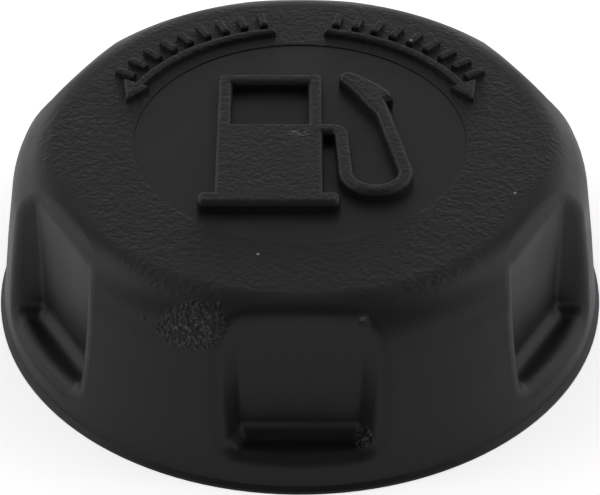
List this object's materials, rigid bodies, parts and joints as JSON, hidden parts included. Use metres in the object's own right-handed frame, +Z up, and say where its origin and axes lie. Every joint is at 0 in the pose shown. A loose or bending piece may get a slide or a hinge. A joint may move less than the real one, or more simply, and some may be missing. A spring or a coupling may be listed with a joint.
{
  "type": "fuel filler cap",
  "caption": "Round screw cap for a petrol tank neck, with finger pockets, a raised pump symbol, a threaded inner skirt, a neck gasket and a sprung two-way vent valve.",
  "frame": {"origin": "centre of the foot ring that the cap stands on", "axes": "+Z up along the thread axis, out of the top of the cap; +Y towards the top of the raised pump symbol; +X to the symbol's right"},
  "size_m": [0.062, 0.062, 0.0205],
  "materials": {
    "cap_plastic": "satin, fine grain on the top",
    "valve_plastic": "smooth moulded acetal",
    "baffle_plastic": "smooth moulded",
    "gasket_rubber": "matt",
    "spring_wire": "drawn wire",
    "filter_foam": "open-cell foam"
  },
  "bodies": {
    "cap": {"cap_body": "cap_plastic", "neck_gasket": "gasket_rubber", "valve_body": "valve_plastic", "splash_baffle": "baffle_plastic", "pressure_spring": "spring_wire", "vent_filter": "filter_foam"},
    "pressure_valve": {"pressure_plate": "valve_plastic", "valve_seal": "gasket_rubber", "vacuum_spring": "spring_wire"},
    "vacuum_valve": {"vacuum_poppet": "valve_plastic", "poppet_clip": "spring_wire"}
  },
  "joints": [
    {"name": "pressure_valve_lift", "type": "slide", "parent": "cap", "child": "pressure_valve", "axis": [0, 0, 1], "range_m": [0, 0.0012], "stiffness_N_per_m": 500, "springref_m": -0.0023, "deforming": ["pressure_spring"]},
    {"name": "vacuum_valve_drop", "type": "slide", "parent": "pressure_valve", "child": "vacuum_valve", "axis": [0, 0, -1], "range_m": [0, 0.001], "stiffness_N_per_m": 50, "springref_m": -0.002, "deforming": ["vacuum_spring"]}
  ]
}
